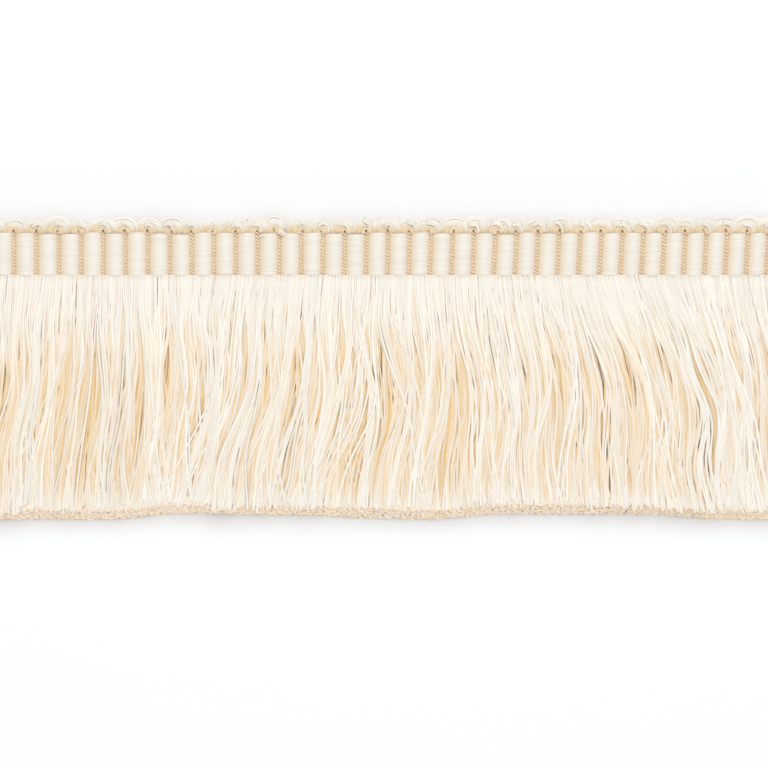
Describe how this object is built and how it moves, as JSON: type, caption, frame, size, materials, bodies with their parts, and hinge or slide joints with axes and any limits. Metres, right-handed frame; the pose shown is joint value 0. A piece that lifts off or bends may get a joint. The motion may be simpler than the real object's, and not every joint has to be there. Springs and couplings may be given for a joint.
{
  "type": "cut brush fringe trim",
  "caption": "Straight length of brush fringe: a ribbed woven heading with a looped top edge and a thick cut floss skirt.",
  "frame": {"origin": "centre of the woven heading's flat back", "axes": "+X along the trim's length, +Y across it from the cut skirt to the looped edge, +Z out of the face"},
  "size_m": [0.1456, 0.0507, 0.0046],
  "materials": {
    "heading_weave": "warp-faced ribbed weave, satin",
    "loop_floss": "untwisted floss, soft sheen",
    "skirt_floss": "cut floss, silky sheen"
  },
  "bodies": {
    "root": {"heading": "heading_weave", "loop_edge": "loop_floss", "fringe": "skirt_floss"}
  },
  "joints": []
}
